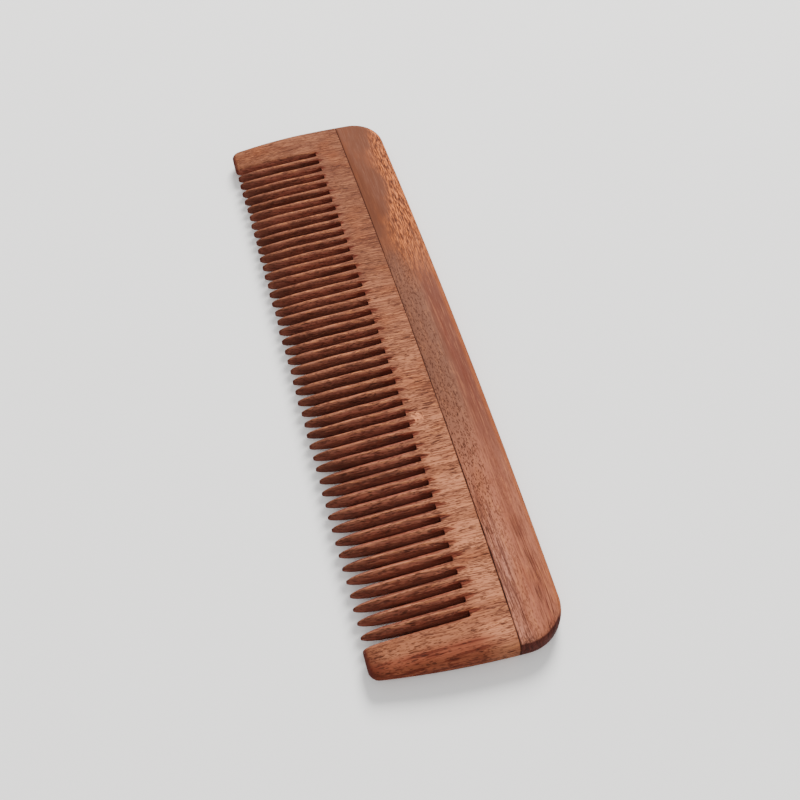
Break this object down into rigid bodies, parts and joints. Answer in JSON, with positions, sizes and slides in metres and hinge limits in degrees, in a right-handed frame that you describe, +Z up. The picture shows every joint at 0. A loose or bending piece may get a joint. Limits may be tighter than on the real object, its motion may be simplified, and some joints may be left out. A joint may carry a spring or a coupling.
{
  "type": "wooden comb",
  "caption": "Long flat wooden hair comb with one row of rounded, pointed teeth between two broad end teeth and a rounded strip glued along its back.",
  "frame": {"origin": "under the middle of the comb, on the plane that it lies on, centred between its two ends and between the tips of its broad end teeth and its back edge", "axes": "+X along the comb to the end with the larger back corner, +Y from the tooth tips to the back edge, +Z up out of the flat face that it lies on"},
  "size_m": [0.185, 0.0477, 0.0062],
  "materials": {
    "plate_wood": "oiled hardwood with dark pores, grain along the teeth",
    "strip_wood": "oiled hardwood with dark pores, grain along the comb"
  },
  "bodies": {
    "root": {"back_strip": "strip_wood", "tooth_plate": "plate_wood", "guard_far": "plate_wood", "guard_near": "plate_wood", "tooth_01": "plate_wood", "tooth_02": "plate_wood", "tooth_03": "plate_wood", "tooth_04": "plate_wood", "tooth_05": "plate_wood", "tooth_06": "plate_wood", "tooth_07": "plate_wood", "tooth_08": "plate_wood", "tooth_09": "plate_wood", "tooth_10": "plate_wood", "tooth_11": "plate_wood", "tooth_12": "plate_wood", "tooth_13": "plate_wood", "tooth_14": "plate_wood", "tooth_15": "plate_wood", "tooth_16": "plate_wood", "tooth_17": "plate_wood", "tooth_18": "plate_wood", "tooth_19": "plate_wood", "tooth_20": "plate_wood", "tooth_21": "plate_wood", "tooth_22": "plate_wood", "tooth_23": "plate_wood", "tooth_24": "plate_wood", "tooth_25": "plate_wood", "tooth_26": "plate_wood", "tooth_27": "plate_wood", "tooth_28": "plate_wood", "tooth_29": "plate_wood", "tooth_30": "plate_wood", "tooth_31": "plate_wood", "tooth_32": "plate_wood", "tooth_33": "plate_wood", "tooth_34": "plate_wood", "tooth_35": "plate_wood", "tooth_36": "plate_wood", "tooth_37": "plate_wood", "tooth_38": "plate_wood", "tooth_39": "plate_wood", "tooth_40": "plate_wood", "tooth_41": "plate_wood", "tooth_42": "plate_wood", "tooth_43": "plate_wood", "tooth_44": "plate_wood", "tooth_45": "plate_wood"}
  },
  "joints": []
}
